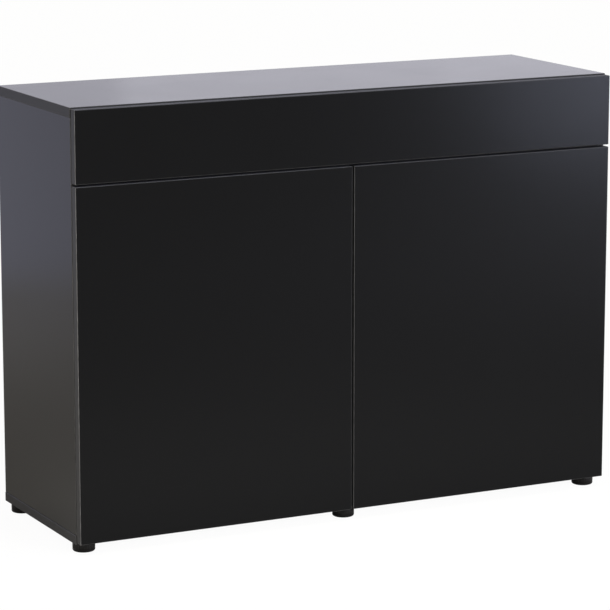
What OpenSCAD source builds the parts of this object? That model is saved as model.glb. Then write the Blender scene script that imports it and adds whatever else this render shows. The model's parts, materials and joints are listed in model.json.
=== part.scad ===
// Aquarium stand cabinet: black laminated boards, a full-width drawer front over two doors, six feet.
// Front faces -Y, +Z is up, the origin is on the floor under the middle of the cabinet. Millimetres.

/* [Cabinet] */
// Overall width, along the top panel
cab_w = 1200; // [1000:10:1500]
// Overall depth, from the faces of the fronts to the back
cab_d = 400; // [390:5:600]
// Overall height, from the floor to the top surface
cab_h = 880; // [800:5:1000]
// Thickness of the carcass boards
board_t = 19; // [18:0.5:25]
// How far the top and bottom panels stand past the side panels
panel_overhang = 0.8; // [0:0.1:2]
// Thickness of the back boards and rear rails
back_t = 16; // [15:0.5:19]
// Height of the rear rails behind the drawer
rear_rail_h = 100; // [80:1:110]
// Height of the open slot for hoses and leads in the back
service_slot_h = 90; // [50:1:140]
// Depth of the rails between the drawer and the doors
divider_d = 90; // [80:1:140]

/* [Fronts] */
// Thickness of the doors and the drawer front
front_t = 19; // [18:0.5:22]
// Air gap between the carcass and the fronts
front_gap = 1.8; // [1.8:0.1:4.5]
// Gap between neighbouring fronts
front_reveal = 4.5; // [3:0.1:6]
// Set-back of the fronts from the ends of the top panel
side_reveal = 1.2; // [1:0.1:2.5]
// Set-back of the drawer front below the top surface
top_reveal = 2.5; // [1:0.1:5]
// Set-back of the doors above the underside of the bottom panel
bottom_reveal = 4.5; // [1:0.1:8]
// Height of the drawer front
drawer_front_h = 144; // [135:1:200]

/* [Shelves] */
// Thickness of the shelves
shelf_t = 19; // [16:0.5:25]
// Set-back of the shelves from the front edge of the carcass
shelf_setback = 25; // [15:1:60]
// Side clearance of the shelves
shelf_clear = 1; // [0.5:0.1:2]
// Diameter of the shelf pins
pin_d = 5; // [4:0.5:6]
// Depth of the shelf pin holes
pin_hole_depth = 8; // [6:0.5:8.5]
// How far the shelf pins stand out of the boards
pin_out = 9; // [7:0.5:12]
// Pitch of the shelf pin holes
pin_pitch = 32; // [25:1:40]
// Height of the lowest shelf pin hole above the inner floor
pin_first = 230; // [150:1:300]
// Number of shelf pin holes in a row
pin_holes = 7; // [5:1:8]
// Hole that carries the shelf, counted from 0
pin_used = 3; // [0:1:4]
// Distance of the shelf pin rows from the shelf's front and back edges
pin_row_inset = 40; // [25:1:60]

/* [Feet] */
// Height of the feet when fully screwed in
foot_h = 18; // [14:0.5:25]
// Diameter of the foot pads
foot_d = 45; // [35:1:50]
// Rounding of the lower edge of the pads
foot_round = 4; // [2:0.5:6]
// Diameter of the foot stems
stem_d = 8; // [6:0.5:10]
// Length of the foot stems
stem_l = 17; // [15:0.5:17.5]
// Outside diameter of the threaded inserts
insert_d = 11.5; // [10.5:0.5:14]
// Distance of the outer feet from the ends of the top panel
foot_inset_side = 25; // [23:1:60]
// Distance of the front feet behind the front edge of the carcass
foot_inset_front = 21; // [20:1:60]
// Distance of the rear feet from the back
foot_inset_back = 32; // [25:1:60]

/* [Hinges] */
// Diameter of the hinge cups
cup_d = 35; // [34.5:0.5:36]
// Depth of the hinge cups
cup_depth = 14; // [13.9:0.1:14.5]
// Wall of the hinge cups
cup_wall = 0.7; // [0.6:0.1:0.8]
// Distance of the cup's middle from the door's outer edge
cup_edge = 20; // [19.8:0.1:20.1]
// Distance of the hinge pin from the door's outer edge
hinge_edge = 5.9; // [5.8:0.1:6.1]
// Depth of the hinge pin below the back of the door
hinge_depth = 11.2; // [10.4:0.1:11.3]
// Diameter of the hinge pins
hinge_pin_d = 2; // [1.8:0.1:2.1]
// Distance of the hinges from the top and bottom of the doors
hinge_inset = 100; // [70:1:150]
// Thickness of the hinge arms
arm_t = 1.8; // [1.5:0.1:2]
// Width of the hinge arms at the pin
arm_w = 7; // [5:0.5:7.5]
// Thickness of the hinge mounting plates
plate_t = 2.5; // [2:0.1:3.5]
// Distance of the plate screws behind the front edge of the carcass
plate_line = 37; // [34:1:45]

/* [Drawer] */
// Length of the drawer boxes and of their runners
runner_l = 300; // [260:1:320]
// Height of the drawer box walls
box_h = 82; // [60:1:85]
// Thickness of the drawer box walls
box_t = 12; // [11:0.5:14]
// Thickness of the drawer bottoms
box_floor_t = 6; // [4:0.5:8]
// Height of the drawer bottoms above the divider rails
box_lift = 11; // [6:0.5:12]
// Space for a runner between the carcass and a drawer box
runner_t = 13; // [12.5:0.1:14]
// Height of the runners
runner_h = 45; // [40:0.5:48]
// Sheet thickness of the runners
runner_sheet = 1.2; // [1:0.1:1.4]
// Sliding clearance between the runner members
runner_clear = 0.3; // [0.2:0.05:0.4]

/* [Latches] */
// Diameter of the latch plungers
plunger_d = 9; // [7:0.5:10]
// Length of the latch plungers
plunger_l = 46; // [40:1:50]
// Length of the latch housings
latch_l = 58; // [54:1:70]
// Width of the latch housings
latch_w = 18; // [16:0.5:22]
// Height of the latch housings
latch_h = 15; // [14:0.5:20]
// Distance of the latch's middle from the partition
latch_inset = 14; // [12:0.5:25]
// Diameter of the strike plates
strike_d = 16; // [12:0.5:18]
// Thickness of the strike plates
strike_t = 1.5; // [1:0.1:1.5]
// Diameter of the door bumpers
bumper_d = 6; // [4:0.5:6.5]

/* [Hidden] */
$fn = 48;

// Small fits
fit = 0.05;
hole_end = 0.5;
running = 0.06;
slide_fit = 0.2;
rest_gap = 0.3;
over = 1;

// Places across the width, on the right-hand side
end_x = cab_w / 2;
side_out = end_x - panel_overhang;
side_in = side_out - board_t;
side_mid = side_out - board_t / 2;
part_x = board_t / 2;
door_out = end_x - side_reveal;
door_in = front_reveal / 2;
latch_x = part_x + latch_inset;
bumper_x = (part_x + door_in) / 2;

// Places along the depth
face_y = -cab_d / 2;
front_back_y = face_y + front_t;
carc_y = front_back_y + front_gap;
back_y = cab_d / 2;
back_in_y = back_y - back_t;
back_mid_y = back_y - back_t / 2;

// Places along the height
z_under = foot_h;
z_floor = z_under + board_t;
z_ceil = cab_h - board_t;
front_top = cab_h - top_reveal;
drawer_bottom = front_top - drawer_front_h;
door_top = drawer_bottom - front_reveal;
door_bottom = z_under + bottom_reveal;
divider_z1 = (drawer_bottom + door_top + board_t) / 2;
divider_z0 = divider_z1 - board_t;
rear_rail_z = z_ceil - rear_rail_h;
back_top_z = rear_rail_z - service_slot_h;
pin_z = z_floor + pin_first + pin_pitch * pin_used;
shelf_z = pin_z + pin_d / 2;
latch_z = divider_z0 - latch_h / 2;

// Shelves
shelf_front_y = carc_y + shelf_setback;
shelf_back_y = back_in_y - shelf_clear;
pin_rows = [shelf_front_y + pin_row_inset, shelf_back_y - pin_row_inset];

// Cam joints: a cam in the upright draws in a bolt that is screwed into the top or bottom panel
cam_d = 15;
cam_past_bolt = 4.5;
cam_depth = board_t / 2 + cam_past_bolt;
cam_rise = 26;
cam_inset = 50;
cam_ys = [carc_y + cam_inset, back_y - cam_inset];
bolt_d = 6;
bolt_head_d = 7;
bolt_head_l = 3;
bolt_in_panel = 11;

// Dowels
dowel_d = 8;
dowel_l = 30;
dowel_in_panel = 12;
dowel_in_upright = 8;
dowel_inset = 110;
dowel_ys = [carc_y + dowel_inset, back_y - dowel_inset];
rail_dowel_inset = 25;
divider_dowel_ys = [carc_y + rail_dowel_inset, carc_y + divider_d - rail_dowel_inset];
back_dowel_inset = 60;
rear_rail_dowel_zs = [rear_rail_z + rail_dowel_inset, z_ceil - rail_dowel_inset];
back_dowel_zs = [
    z_floor + back_dowel_inset,
    (z_floor + back_top_z) / 2,
    back_top_z - back_dowel_inset,
];

// Feet
foot_x = end_x - foot_inset_side;
foot_front_y = carc_y + foot_inset_front;
foot_back_y = back_y - foot_inset_back;
stem_hole_l = stem_l + hole_end;

// Hinges: places of the pin, and offsets from the pin towards the cabinet's middle and its back
hinge_x = door_out - hinge_edge;
hinge_y = front_back_y - hinge_depth;
hinge_zs = [door_bottom + hinge_inset, door_top - hinge_inset];
cup_x = door_out - cup_edge;
cup_in_d = cup_d - 2 * cup_wall;
cup_floor_y = front_back_y - cup_depth + cup_wall;
flange_t = 0.8;
flange_rim = 0.5;
flange_d = cup_d + 2 * flange_rim;
flange_len = 60;
flange_w = 14;
flange_shift = 5;
cup_screw_pitch = 48;
cup_screw_d = 3.5;
cup_screw_l = 12;
cup_screw_head_d = 6.5;
cup_screw_head_h = 1;
eye_wall = 0.7;
eye_d = hinge_pin_d + 2 * eye_wall;
riser_x = side_in - (plate_t + arm_t) / 2;
plate_len = 46;
plate_bar_w = 17;
plate_wing_len = 12;
plate_wing_w = 48;
plate_mid_y = carc_y + plate_line;
plate_y = plate_mid_y - plate_len / 2;
plate_screw_pitch = 32;
plate_screw_d = 5;
plate_screw_l = 13;
plate_screw_head_d = 9;
plate_screw_head_h = 2;
arm_body_t = 6;
arm_body_w = 15;
arm_nose_l = 6;
arm_body_y = plate_y - arm_nose_l;

// Drawer
box_bottom_z = divider_z1 + box_lift;
box_z = box_bottom_z + box_floor_t;
box_top_z = box_z + box_h;
box_in_x = part_x + runner_t;
box_out_x = side_in - runner_t;
box_y = front_back_y;
box_back_y = box_y + runner_l;
runner_z = box_z + box_h / 2;
runner_setback = 2;
runner_y = carc_y + runner_setback;
runner_end_y = runner_y + runner_l;
runner_end_gap = 1;
outer_lip_gap = 3;
outer_w = runner_t - outer_lip_gap;
middle_h = runner_h - 2 * (runner_sheet + runner_clear);
inner_h = middle_h - 2 * (runner_sheet + runner_clear);
runner_screw_d = 4;
runner_screw_head_d = 6.4;
runner_screw_l = 8;
runner_screw_inset = 25;
runner_screw_ys = [
    runner_y + runner_screw_inset,
    runner_y + runner_l / 2,
    runner_end_y - runner_screw_inset,
];
inner_screw_inset = 40;
inner_screw_ys = [box_y + inner_screw_inset, box_back_y - inner_screw_inset];
front_screw_d = 4;
front_screw_head_d = 8;
front_screw_head_h = 2;
front_screw_grip_l = 13;
front_screw_l = box_t + front_screw_grip_l;
front_screw_inset = [60, 20];

// Latches and bumpers
strike_y = front_back_y + strike_t;
plunger_y = strike_y + slide_fit;
latch_setback = 1;
latch_y = carc_y + latch_setback;
bumper_t = front_gap - rest_gap;
bumper_inset = 40;
bumper_zs = [door_bottom + bumper_inset, door_top - bumper_inset];

laminate = "#1d1d20";
zinc = "#b9bcc0";
steel = "#a8abae";
beech = "#c9a56f";
plastic = "#141414";
birch = "#3a3a3d";

// Box between two opposite corners
module block(from, to) {
    translate(from) cube(to - from);
}

// Mirrors right-hand geometry to the left for a side of -1
module handed(side) {
    if (side > 0) children();
    else mirror([1, 0, 0]) children();
}

// Cylinder along +Y from y0 to y1
module rod_y(x, z, y0, y1, d) {
    translate([x, y0, z]) rotate([-90, 0, 0]) cylinder(d = d, h = y1 - y0);
}

// Places with local +Z into an upright from its inner face, and local +Y to its nearer end
module at_cams() {
    for (y = cam_ys) {
        for (end = [-1, 1]) {
            z = end > 0 ? z_ceil - cam_rise : z_floor + cam_rise;
            for (side = [-1, 1]) {
                handed(side) translate([side_in, y, z]) cam_frame(end) children();
            }
            translate([part_x, y, z]) mirror([1, 0, 0]) cam_frame(end) children();
        }
    }
}

module cam_frame(end) {
    if (end > 0) rotate([90, 0, 90]) children();
    else mirror([0, 0, 1]) rotate([90, 0, 90]) children();
}

module cam_lock(grow) {
    cylinder(d = cam_d + 2 * grow, h = cam_depth + grow);
}

// A bolt from the middle of its cam to the board that it is screwed into
module cam_bolt(grow) {
    translate([0, 0, board_t / 2]) rotate([-90, 0, 0]) {
        cylinder(d = bolt_d + 2 * grow, h = cam_rise + bolt_in_panel + grow);
        translate([0, 0, -grow]) cylinder(d = bolt_head_d + 2 * grow, h = bolt_head_l + 2 * grow);
    }
}

// Channel in a cam for its bolt
module cam_bolt_way() {
    translate([0, 0, board_t / 2]) rotate([-90, 0, 0]) {
        translate([0, 0, -fit]) cylinder(d = bolt_head_d + 4 * fit, h = cam_d);
    }
}

module at_upright_dowels() {
    for (x = [-side_mid, 0, side_mid]) {
        for (y = dowel_ys) {
            translate([x, y, z_ceil]) children();
            translate([x, y, z_floor]) mirror([0, 0, 1]) children();
        }
    }
}

module at_rail_dowels(ys, zs) {
    for (side = [-1, 1]) {
        for (y = ys) {
            for (z = zs) {
                handed(side) translate([side_in, y, z]) rotate([0, 90, 0]) children();
                handed(side) translate([part_x, y, z]) rotate([0, -90, 0]) children();
            }
        }
    }
}

module at_divider_dowels() {
    at_rail_dowels(divider_dowel_ys, [(divider_z0 + divider_z1) / 2]) children();
}

module at_rear_rail_dowels() {
    at_rail_dowels([back_mid_y], rear_rail_dowel_zs) children();
}

module at_back_dowels() {
    at_rail_dowels([back_mid_y], back_dowel_zs) children();
}

// Dowel along Z, with depth_in above the joint and the rest below it
module dowel(depth_in, grow) {
    end = grow > 0 ? hole_end : 0;
    translate([0, 0, depth_in - dowel_l - end]) cylinder(d = dowel_d + 2 * grow, h = dowel_l + 2 * end);
}

// Places with local +Z into the boards beside a bay, at each hole of the shelf pin rows
module at_shelf_holes(indices) {
    for (side = [-1, 1]) {
        for (y = pin_rows) {
            for (i = indices) {
                z = z_floor + pin_first + pin_pitch * i;
                handed(side) translate([side_in, y, z]) rotate([0, 90, 0]) children();
                handed(side) translate([part_x, y, z]) rotate([0, -90, 0]) children();
            }
        }
    }
}

module shelf_holes() {
    at_shelf_holes([0:pin_holes - 1]) {
        cylinder(d = pin_d + 2 * fit, h = pin_hole_depth + hole_end);
    }
}

// Places with local +X from the carcass wall towards the drawer, at mid height of each runner
module at_runners() {
    for (side = [-1, 1]) {
        handed(side) translate([part_x, 0, runner_z]) children();
        handed(side) translate([side_in, 0, runner_z]) mirror([1, 0, 0]) children();
    }
}

// Countersunk screw along +Z with its flat head at z = 0
module flat_screw(d, head_d, head_h, l, grow) {
    cylinder(d1 = head_d + 2 * grow, d2 = d + 2 * grow, h = head_h);
    cylinder(d = d + 2 * grow, h = l + (grow > 0 ? hole_end : 0));
}

// Screw along +Z whose raised head lies below z = 0
module pan_screw(d, head_d, head_h, l, grow) {
    translate([0, 0, -head_h]) cylinder(d = head_d, h = head_h);
    cylinder(d = d + 2 * grow, h = l + (grow > 0 ? hole_end : 0));
}

// Screws from the runners into the carcass
module at_runner_screws() {
    at_runners() {
        for (y = runner_screw_ys) {
            translate([runner_sheet, y, 0]) rotate([0, -90, 0]) children();
        }
    }
}

module runner_screw(grow) {
    flat_screw(runner_screw_d, runner_screw_head_d, runner_sheet, runner_sheet + runner_screw_l, grow);
}

// Screws from the runners into the drawer boxes
module at_inner_screws() {
    at_runners() {
        for (y = inner_screw_ys) {
            translate([runner_t - runner_sheet, y, 0]) rotate([0, 90, 0]) children();
        }
    }
}

// Open section of a runner member, with its web at the left or at the right
module channel(u0, u1, h, web_right) {
    difference() {
        translate([u0, -h / 2]) square([u1 - u0, h]);
        translate([web_right ? u0 - over : u0 + runner_sheet, runner_sheet - h / 2]) {
            square([u1 - u0 - runner_sheet + over, h - 2 * runner_sheet]);
        }
    }
}

module runner_bar(y0, y1) {
    translate([0, y1, 0]) rotate([90, 0, 0]) linear_extrude(y1 - y0) children();
}

// Places with local +Z into the side panel, at the screws of each hinge plate
module at_plate_screws() {
    for (side = [-1, 1]) {
        for (z = hinge_zs) {
            for (dz = [-1, 1]) {
                handed(side) translate([side_in - plate_t, plate_mid_y, z + dz * plate_screw_pitch / 2]) {
                    rotate([0, 90, 0]) children();
                }
            }
        }
    }
}

module plate_screw(grow) {
    pan_screw(plate_screw_d, plate_screw_head_d, plate_screw_head_h, plate_t + plate_screw_l, grow);
}

// Places with local +Z into the door, at the screws of each hinge cup on the right
module at_cup_screws() {
    for (z = hinge_zs) {
        for (dz = [-1, 1]) {
            translate([cup_x - flange_shift, front_back_y + flange_t, z + dz * cup_screw_pitch / 2]) {
                rotate([90, 0, 0]) children();
            }
        }
    }
}

module cup_screw(grow) {
    pan_screw(cup_screw_d, cup_screw_head_d, cup_screw_head_h, flange_t + cup_screw_l, grow);
}

// Places with local +Z into the drawer front, at the screws inside each drawer box
module at_front_screws() {
    for (side = [-1, 1]) {
        for (x = [box_in_x + front_screw_inset[0], box_out_x - front_screw_inset[0]]) {
            for (z = [box_z + front_screw_inset[1], box_top_z - front_screw_inset[1]]) {
                handed(side) translate([x, box_y + box_t, z]) rotate([90, 0, 0]) children();
            }
        }
    }
}

module front_screw(grow) {
    pan_screw(front_screw_d, front_screw_head_d, front_screw_head_h, front_screw_l, grow);
}

module at_feet() {
    for (x = [-foot_x, 0, foot_x]) {
        for (y = [foot_front_y, foot_back_y]) {
            translate([x, y, z_under]) children();
        }
    }
}

// Boards of the carcass

module top_panel() {
    color(laminate) difference() {
        block([-end_x, carc_y, z_ceil], [end_x, back_y, cab_h]);
        at_cams() cam_bolt(fit);
        at_upright_dowels() dowel(dowel_in_panel, fit);
    }
}

module bottom_panel() {
    color(laminate) difference() {
        block([-end_x, carc_y, z_under], [end_x, back_y, z_floor]);
        at_cams() cam_bolt(fit);
        at_upright_dowels() dowel(dowel_in_panel, fit);
        at_feet() cylinder(d = insert_d + 2 * fit, h = stem_hole_l);
    }
}

module side_panel() {
    color(laminate) difference() {
        block([side_in, carc_y, z_floor], [side_out, back_y, z_ceil]);
        at_cams() cam_lock(fit);
        at_cams() cam_bolt(fit);
        at_upright_dowels() dowel(dowel_in_panel, fit);
        at_divider_dowels() dowel(dowel_in_upright, fit);
        at_rear_rail_dowels() dowel(dowel_in_upright, fit);
        at_back_dowels() dowel(dowel_in_upright, fit);
        shelf_holes();
        at_plate_screws() plate_screw(fit);
        at_runner_screws() runner_screw(fit);
    }
}

module left_side_panel() {
    handed(-1) side_panel();
}

module right_side_panel() {
    side_panel();
}

module centre_partition() {
    color(laminate) difference() {
        block([-part_x, carc_y, z_floor], [part_x, back_y, z_ceil]);
        at_cams() cam_lock(fit);
        at_cams() cam_bolt(fit);
        at_upright_dowels() dowel(dowel_in_panel, fit);
        at_divider_dowels() dowel(dowel_in_upright, fit);
        at_rear_rail_dowels() dowel(dowel_in_upright, fit);
        at_back_dowels() dowel(dowel_in_upright, fit);
        shelf_holes();
        at_runner_screws() runner_screw(fit);
    }
}

module back_board() {
    color(laminate) difference() {
        block([part_x, back_in_y, z_floor], [side_in, back_y, back_top_z]);
        at_back_dowels() dowel(dowel_in_upright, fit);
    }
}

module left_back_board() {
    handed(-1) back_board();
}

module right_back_board() {
    back_board();
}

module rear_rail() {
    color(laminate) difference() {
        block([part_x, back_in_y, rear_rail_z], [side_in, back_y, z_ceil]);
        at_rear_rail_dowels() dowel(dowel_in_upright, fit);
    }
}

module left_rear_rail() {
    handed(-1) rear_rail();
}

module right_rear_rail() {
    rear_rail();
}

module divider_rail() {
    color(laminate) difference() {
        block([part_x, carc_y, divider_z0], [side_in, carc_y + divider_d, divider_z1]);
        at_divider_dowels() dowel(dowel_in_upright, fit);
    }
}

module left_divider_rail() {
    handed(-1) divider_rail();
}

module right_divider_rail() {
    divider_rail();
}

module shelf() {
    color(laminate) {
        block(
            [part_x + shelf_clear, shelf_front_y, shelf_z],
            [side_in - shelf_clear, shelf_back_y, shelf_z + shelf_t]
        );
    }
}

module left_shelf() {
    handed(-1) shelf();
}

module right_shelf() {
    shelf();
}

// Fittings of the carcass

module shelf_pins() {
    color(steel) at_shelf_holes([pin_used]) {
        translate([0, 0, -pin_out]) cylinder(d = pin_d, h = pin_out + pin_hole_depth);
    }
}

module cam_locks() {
    color(zinc) at_cams() difference() {
        cam_lock(0);
        cam_bolt_way();
    }
}

module cam_bolts() {
    color(steel) at_cams() cam_bolt(0);
}

module dowels() {
    color(beech) {
        at_upright_dowels() dowel(dowel_in_panel, 0);
        at_divider_dowels() dowel(dowel_in_upright, 0);
        at_rear_rail_dowels() dowel(dowel_in_upright, 0);
        at_back_dowels() dowel(dowel_in_upright, 0);
    }
}

module foot_inserts() {
    color(zinc) at_feet() difference() {
        cylinder(d = insert_d, h = stem_hole_l - fit);
        translate([0, 0, -over]) cylinder(d = stem_d + 2 * running, h = stem_hole_l + 2 * over);
    }
}

// Hinges

module hinge_plate() {
    difference() {
        union() {
            block(
                [side_in - plate_t, plate_y, -plate_bar_w / 2],
                [side_in, plate_y + plate_len, plate_bar_w / 2]
            );
            block(
                [side_in - plate_t, plate_mid_y - plate_wing_len / 2, -plate_wing_w / 2],
                [side_in, plate_mid_y + plate_wing_len / 2, plate_wing_w / 2]
            );
        }
        for (dz = [-1, 1]) {
            translate([side_in - plate_t - over, plate_mid_y, dz * plate_screw_pitch / 2]) {
                rotate([0, 90, 0]) cylinder(d = plate_screw_d + 2 * fit, h = plate_t + 2 * over);
            }
        }
    }
}

module hinge_plates() {
    color(steel) for (side = [-1, 1]) {
        for (z = hinge_zs) {
            handed(side) translate([0, 0, z]) hinge_plate();
        }
    }
}

module hinge_plate_screws() {
    color(steel) at_plate_screws() plate_screw(0);
}

// Neck from the pin, riser past the edge of the side panel, and body on the mounting plate
module hinge_arm() {
    body_x = side_in - plate_t;
    neck_corner = [riser_x - arm_t, hinge_y - arm_t / 2, -arm_w / 2];
    difference() {
        union() {
            translate([hinge_x, hinge_y, -arm_w / 2]) cylinder(d = eye_d, h = arm_w);
            block(neck_corner, [hinge_x, hinge_y + arm_t / 2, arm_w / 2]);
            block(neck_corner, [riser_x, arm_body_y + arm_t, arm_w / 2]);
            block(
                [body_x - arm_body_t, arm_body_y, -arm_body_w / 2],
                [body_x, plate_y + plate_len + arm_t, arm_body_w / 2]
            );
        }
        translate([hinge_x, hinge_y, -arm_w / 2 - over]) {
            cylinder(d = hinge_pin_d + 2 * running, h = arm_w + 2 * over);
        }
    }
}

module hinge_arms() {
    color(steel) for (side = [-1, 1]) {
        for (z = hinge_zs) {
            handed(side) translate([0, 0, z]) hinge_arm();
        }
    }
}

module hinge_cup() {
    difference() {
        union() {
            rod_y(cup_x, 0, front_back_y - cup_depth, front_back_y, cup_d);
            rod_y(cup_x, 0, front_back_y, front_back_y + flange_t, flange_d);
            block(
                [cup_x - flange_shift - flange_w / 2, front_back_y, -flange_len / 2],
                [cup_x - flange_shift + flange_w / 2, front_back_y + flange_t, flange_len / 2]
            );
        }
        rod_y(cup_x, 0, cup_floor_y, front_back_y + flange_t + over, cup_in_d);
        translate([hinge_x, hinge_y, -cup_d / 2]) cylinder(d = hinge_pin_d + 2 * fit, h = cup_d);
        for (dz = [-1, 1]) {
            translate([cup_x - flange_shift, front_back_y - over, dz * cup_screw_pitch / 2]) {
                rotate([-90, 0, 0]) cylinder(d = cup_screw_d + 2 * fit, h = flange_t + 2 * over);
            }
        }
    }
}

module hinge_cups() {
    color(zinc) for (z = hinge_zs) {
        translate([0, 0, z]) hinge_cup();
    }
}

module left_hinge_cups() {
    handed(-1) hinge_cups();
}

module right_hinge_cups() {
    hinge_cups();
}

// Pins through both walls of a cup, with their ends flush with its outside
module hinge_pins() {
    color(steel) for (z = hinge_zs) {
        intersection() {
            translate([hinge_x, hinge_y, z - cup_d / 2]) cylinder(d = hinge_pin_d, h = cup_d);
            rod_y(cup_x, z, front_back_y - cup_depth, front_back_y, cup_d);
        }
    }
}

module left_hinge_pins() {
    handed(-1) hinge_pins();
}

module right_hinge_pins() {
    hinge_pins();
}

module left_cup_screws() {
    color(steel) handed(-1) at_cup_screws() cup_screw(0);
}

module right_cup_screws() {
    color(steel) at_cup_screws() cup_screw(0);
}

// Doors

module door() {
    color(laminate) difference() {
        block([door_in, face_y, door_bottom], [door_out, front_back_y, door_top]);
        for (z = hinge_zs) {
            rod_y(cup_x, z, front_back_y - cup_depth - fit, front_back_y + over, cup_d + 2 * fit);
        }
        at_cup_screws() cup_screw(fit);
    }
}

module left_door() {
    handed(-1) door();
}

module right_door() {
    door();
}

module strike_plate() {
    color(steel) rod_y(latch_x, latch_z, front_back_y, strike_y, strike_d);
}

module left_strike_plate() {
    handed(-1) strike_plate();
}

module right_strike_plate() {
    strike_plate();
}

module door_bumpers() {
    color("#d8dcdc") for (z = bumper_zs) {
        rod_y(bumper_x, z, front_back_y, front_back_y + bumper_t, bumper_d);
    }
}

module left_door_bumpers() {
    handed(-1) door_bumpers();
}

module right_door_bumpers() {
    door_bumpers();
}

// Push latches

module latch_housing() {
    difference() {
        block(
            [latch_x - latch_w / 2, latch_y, latch_z - latch_h / 2],
            [latch_x + latch_w / 2, latch_y + latch_l, latch_z + latch_h / 2]
        );
        rod_y(latch_x, latch_z, latch_y - over, plunger_y + plunger_l + rest_gap, plunger_d + 2 * slide_fit);
    }
}

module latch_housings() {
    color(plastic) for (side = [-1, 1]) {
        handed(side) latch_housing();
    }
}

module latch_plunger() {
    color(zinc) rod_y(latch_x, latch_z, plunger_y, plunger_y + plunger_l, plunger_d);
}

module left_latch_plunger() {
    handed(-1) latch_plunger();
}

module right_latch_plunger() {
    latch_plunger();
}

// Drawer

module drawer_front() {
    color(laminate) difference() {
        block([-door_out, face_y, drawer_bottom], [door_out, front_back_y, front_top]);
        at_front_screws() front_screw(fit);
    }
}

module drawer_front_screws() {
    color(steel) at_front_screws() front_screw(0);
}

module box_outer_side() {
    color(birch) difference() {
        block([box_out_x - box_t, box_y, box_z], [box_out_x, box_back_y, box_top_z]);
        at_inner_screws() runner_screw(fit);
    }
}

module box_inner_side() {
    color(birch) difference() {
        block([box_in_x, box_y, box_z], [box_in_x + box_t, box_back_y, box_top_z]);
        at_inner_screws() runner_screw(fit);
    }
}

module box_front() {
    color(birch) difference() {
        block([box_in_x + box_t, box_y, box_z], [box_out_x - box_t, box_y + box_t, box_top_z]);
        at_front_screws() front_screw(fit);
    }
}

module box_back() {
    color(birch) {
        block(
            [box_in_x + box_t, box_back_y - box_t, box_z],
            [box_out_x - box_t, box_back_y, box_top_z]
        );
    }
}

module box_bottom() {
    color(birch) block([box_in_x, box_y, box_bottom_z], [box_out_x, box_back_y, box_z]);
}

module left_box_outer_side() {
    handed(-1) box_outer_side();
}

module left_box_inner_side() {
    handed(-1) box_inner_side();
}

module left_box_front() {
    handed(-1) box_front();
}

module left_box_back() {
    handed(-1) box_back();
}

module left_box_bottom() {
    handed(-1) box_bottom();
}

module right_box_outer_side() {
    box_outer_side();
}

module right_box_inner_side() {
    box_inner_side();
}

module right_box_front() {
    box_front();
}

module right_box_back() {
    box_back();
}

module right_box_bottom() {
    box_bottom();
}

// Runners: the outer member is on the carcass, the middle one slides in it, the inner one is on the drawer

module runner_outer_members() {
    color(zinc) difference() {
        at_runners() runner_bar(runner_y, runner_end_y) channel(0, outer_w, runner_h, false);
        at_runner_screws() runner_screw(fit);
    }
}

module runner_middle_members() {
    middle_u = runner_sheet + runner_clear;
    color(zinc) at_runners() {
        runner_bar(runner_y + runner_end_gap, runner_end_y - runner_end_gap) {
            channel(middle_u, runner_t - runner_sheet - runner_clear, middle_h, false);
        }
    }
}

module runner_inner_members() {
    inner_u = 2 * (runner_sheet + runner_clear);
    color(zinc) difference() {
        at_runners() runner_bar(box_y + runner_end_gap, box_back_y) channel(inner_u, runner_t, inner_h, true);
        at_inner_screws() runner_screw(fit);
    }
}

module runner_screws() {
    color(steel) at_runner_screws() runner_screw(0);
}

module drawer_runner_screws() {
    color(steel) at_inner_screws() runner_screw(0);
}

// Feet: a pad with a rounded lower edge on a threaded stem
module foot(x, y) {
    r = foot_d / 2;
    color(plastic) translate([x, y, 0]) {
        rotate_extrude() {
            translate([0, foot_round]) square([r, foot_h - foot_round]);
            square([r - foot_round, foot_h]);
            intersection() {
                translate([r - foot_round, foot_round]) circle(r = foot_round);
                square([r, foot_round]);
            }
        }
        translate([0, 0, foot_h - fit]) cylinder(d = stem_d, h = stem_l + fit);
    }
}

module foot_front_left() {
    foot(-foot_x, foot_front_y);
}

module foot_front_middle() {
    foot(0, foot_front_y);
}

module foot_front_right() {
    foot(foot_x, foot_front_y);
}

module foot_back_left() {
    foot(-foot_x, foot_back_y);
}

module foot_back_middle() {
    foot(0, foot_back_y);
}

module foot_back_right() {
    foot(foot_x, foot_back_y);
}

top_panel();
bottom_panel();
left_side_panel();
right_side_panel();
centre_partition();
left_back_board();
right_back_board();
left_rear_rail();
right_rear_rail();
left_divider_rail();
right_divider_rail();
left_shelf();
right_shelf();
shelf_pins();
cam_locks();
cam_bolts();
dowels();
foot_inserts();
hinge_plates();
hinge_arms();
hinge_plate_screws();
runner_outer_members();
runner_screws();
latch_housings();
left_latch_plunger();
right_latch_plunger();
left_door();
left_hinge_cups();
left_hinge_pins();
left_cup_screws();
left_strike_plate();
left_door_bumpers();
right_door();
right_hinge_cups();
right_hinge_pins();
right_cup_screws();
right_strike_plate();
right_door_bumpers();
drawer_front();
drawer_front_screws();
runner_middle_members();
runner_inner_members();
drawer_runner_screws();
left_box_outer_side();
left_box_inner_side();
left_box_front();
left_box_back();
left_box_bottom();
right_box_outer_side();
right_box_inner_side();
right_box_front();
right_box_back();
right_box_bottom();
foot_front_left();
foot_front_middle();
foot_front_right();
foot_back_left();
foot_back_middle();
foot_back_right();
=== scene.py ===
"""Looks of the aquarium stand cabinet: black laminate boards, fittings, studio floor, light and camera."""
import json
import math

import bmesh
import bpy
from mathutils import Matrix, Vector
from mathutils.geometry import delaunay_2d_cdt


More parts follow.
